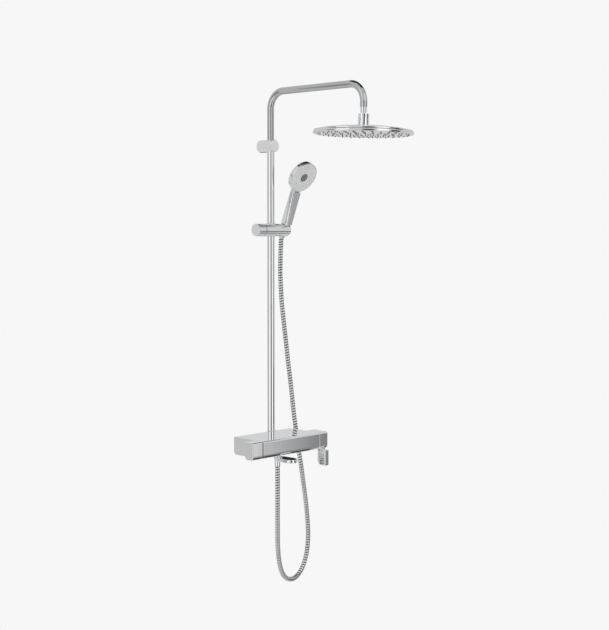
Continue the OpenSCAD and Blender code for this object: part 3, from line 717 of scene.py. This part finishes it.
def hose_stretch(name, first, last):
    """The wound metal hose between two points of its route, with closed ends, and the path it follows."""
    mesh = bmesh.new()
    rings = []
    for i in range(first, last + 1):
        a, b = HOSE_FRAMES[i]
        ring = []
        for k in range(HOSE_SIDES):
            angle = 2 * math.pi * k / HOSE_SIDES
            turn = 2 * math.pi * i * HOSE_SPACING / HOSE_PITCH - angle
            r = HOSE_RADIUS - HOSE_GROOVE * groove(turn)
            out = a * (r * math.cos(angle)) + b * (r * math.sin(angle))
            ring.append(mesh.verts.new(HOSE_POINTS[i] + out))
        rings.append(ring)
    for level, (low, high) in enumerate(zip(rings, rings[1:])):
        for k in range(HOSE_SIDES):
            n = (k + 1) % HOSE_SIDES
            side = mesh.faces.new((low[k], high[k], high[n], low[n]))
            turn = 2 * math.pi * ((first + level + 0.5) * HOSE_SPACING / HOSE_PITCH - (k + 0.5) / HOSE_SIDES)
            # Faces at the groove's bottom take the painted shade
            side.material_index = int(math.cos(turn) > HOSE_GROOVE_EDGE)
    mesh.faces.new(rings[0])
    mesh.faces.new(list(reversed(rings[-1])))
    bmesh.ops.recalc_face_normals(mesh, faces=mesh.faces)
    piece = mesh_piece(name, mesh, HOSE, smooth=True)
    # The second material is the painted shade of the groove
    piece.data.materials.append(HOSE_GROOVE_SHADE)
    path = HOSE_POINTS[first:last + 1:2]
    if path[-1] != HOSE_POINTS[last]:
        path.append(HOSE_POINTS[last])
    return piece, path


def hose_index(reach):
    """The hose point at that distance from the hand shower's nut."""
    return min(len(HOSE_POINTS) - 1, round(reach / HOSE_SPACING))


def make_hose():
    """The hose, cut into stretches at given distances along it and at its lowest point: the last stretch
    rides on the root.
    """
    bottom = min(range(len(HOSE_POINTS)), key=lambda i: HOSE_POINTS[i].z)
    cuts = [0, *(hose_index(reach) for reach in HOSE_CUTS), bottom, len(HOSE_POINTS) - 1]
    joints = [("holder_cup", "hose_nut"), ("slider", "holder_cup"), ("slider_sleeve", "slider"),
              ("root", "slider_sleeve"), None]
    for n, (first, last, joint) in enumerate(zip(cuts, cuts[1:], joints)):
        piece, path = hose_stretch(f"hose_{n + 1}", first, last)
        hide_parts("shower_hose")
        if joint is None:
            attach(piece, "root")
        else:
            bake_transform(piece)


make_hose()

# ------------------------------------------------------------------ light and floor

BACKGROUND = 0.93
ROOM_GREY = 0.68
DOME_RADIUS = 30
FLOOR_RADIUS = 25
FLOOR_Z = -1.05
FLOOR_SIDES = 48


def glow_material(name, strength, far_strength=None):
    """Plain light of one strength, or fading across the sheet from one strength to another."""
    made = bpy.data.materials.new(name)
    made.use_nodes = True
    tree = made.node_tree
    tree.nodes.clear()
    light = tree.nodes.new("ShaderNodeEmission")
    light.inputs["Strength"].default_value = strength
    if far_strength is not None:
        place = tree.nodes.new("ShaderNodeUVMap")
        split = tree.nodes.new("ShaderNodeSeparateXYZ")
        fade = tree.nodes.new("ShaderNodeMapRange")
        fade.inputs["To Min"].default_value = strength
        fade.inputs["To Max"].default_value = far_strength
        tree.links.new(place.outputs["UV"], split.inputs["Vector"])
        tree.links.new(split.outputs["X"], fade.inputs["Value"])
        tree.links.new(fade.outputs["Result"], light.inputs["Strength"])
    out = tree.nodes.new("ShaderNodeOutputMaterial")
    tree.links.new(light.outputs["Emission"], out.inputs["Surface"])
    return made


def place_card(name, middle_point, half_across, half_up, material):
    """A rectangular card that lights and is mirrored in the chrome, but that the camera doesn't see."""
    mesh = bmesh.new()
    uv = mesh.loops.layers.uv.new("UVMap")
    signs = ((-1, -1), (1, -1), (1, 1), (-1, 1))
    corners = [mesh.verts.new(middle_point + half_across * sx + half_up * sz) for sx, sz in signs]
    face = mesh.faces.new(corners)
    for loop, (sx, sz) in zip(face.loops, signs):
        loop[uv].uv = ((sx + 1) / 2, (sz + 1) / 2)
    card = mesh_piece(name, mesh, material)
    card.visible_camera = False
    card.visible_shadow = False


def make_card(name, bearing, height, distance, width, tall, strength, far_strength=None):
    """A standing card. bearing is degrees round the column, from the camera's side towards its right."""
    centre = middle("lower_riser")
    angle = CAMERA_AZIMUTH - math.radians(bearing)
    toward = Vector((-math.sin(angle), -math.cos(angle), 0))
    across = Vector((-toward.y, toward.x, 0))
    foot = Vector((centre.x, centre.y, height)) + toward * distance
    place_card(name, foot, across * (width / 2), Vector((0, 0, tall / 2)),
               glow_material(name, strength, far_strength))


def make_flat_card(name, centre, height, size, strength):
    """A card lying level above or below the column."""
    place_card(name, Vector((*centre, height)), Vector((size[0] / 2, 0, 0)), Vector((0, size[1] / 2, 0)),
               glow_material(name, strength))


def make_stage():
    """A plain pale floor and backdrop for the camera, and an even grey room for everything else."""
    world = bpy.data.worlds.new("room")
    world.use_nodes = True
    world.node_tree.nodes["Background"].inputs["Color"].default_value = (ROOM_GREY, ROOM_GREY, ROOM_GREY, 1)
    bpy.context.scene.world = world
    bpy.context.scene.view_settings.view_transform = "Standard"
    pale = glow_material("pale_backdrop", BACKGROUND)
    for name, builder in (("backdrop", backdrop_dome), ("floor", floor_disc)):
        sheet = mesh_piece(name, builder(), pale)
        sheet.visible_diffuse = False
        sheet.visible_glossy = False
        sheet.visible_shadow = False


def backdrop_dome():
    """A dome that closes the view in behind and above the floor."""
    mesh = bmesh.new()
    bmesh.ops.create_uvsphere(mesh, u_segments=32, v_segments=16, radius=DOME_RADIUS)
    return mesh


def floor_disc():
    """A plain round floor, well below the hose's loop."""
    mesh = bmesh.new()
    turns = [math.tau * k / FLOOR_SIDES for k in range(FLOOR_SIDES)]
    rim = [mesh.verts.new((FLOOR_RADIUS * math.cos(a), FLOOR_RADIUS * math.sin(a), FLOOR_Z)) for a in turns]
    mesh.faces.new(rim)
    return mesh


make_stage()
# Bright and dark cards that the chrome mirrors: bearing, height, distance, width, tall, strength
make_card("soft_left", -44, 0.6, 3.0, 1.7, 5.0, 1.05)
make_card("dim_left", -75, 0.1, 3.0, 1.3, 2.6, 0.32)
make_card("dim_low_left", -91, -0.6, 3.02, 0.55, 0.8, 0.56)
make_card("dark_middle", 13, -0.32, 3.0, 1.2, 3.75, 0.05)
make_card("soft_right", 43, 0.6, 3.0, 1.3, 5.0, 1.3)
make_card("dark_right", 70.3, -0.42, 3.0, 1.24, 3.55, 0.05)
make_card("shade_right", 88.0, -1.2, 3.0, 0.34, 2.2, 0.56, 0.24)
make_card("shade_far", 96.0, -1.2, 3.02, 0.5, 2.2, 0.24)
make_card("dark_back_low", 180, -0.35, 3.0, 1.6, 1.06, 0.02)
# Level cards: centre, height, size, strength
make_flat_card("dark_above", (0.92, 0.68), 3.2, (3.65, 1.05), 0.02)
make_flat_card("dark_above_right", (2.45, 0.0), 3.21, (1.2, 4.6), 0.02)
make_flat_card("dark_above_front", (0.7, -0.6), 3.22, (2.3, 1.5), 0.02)
make_flat_card("dark_below", (1.7, -0.15), -1.7, (1.0, 2.3), 0.06)
make_flat_card("dark_below_right", (2.55, -0.85), -1.7, (0.5, 0.6), 0.1)
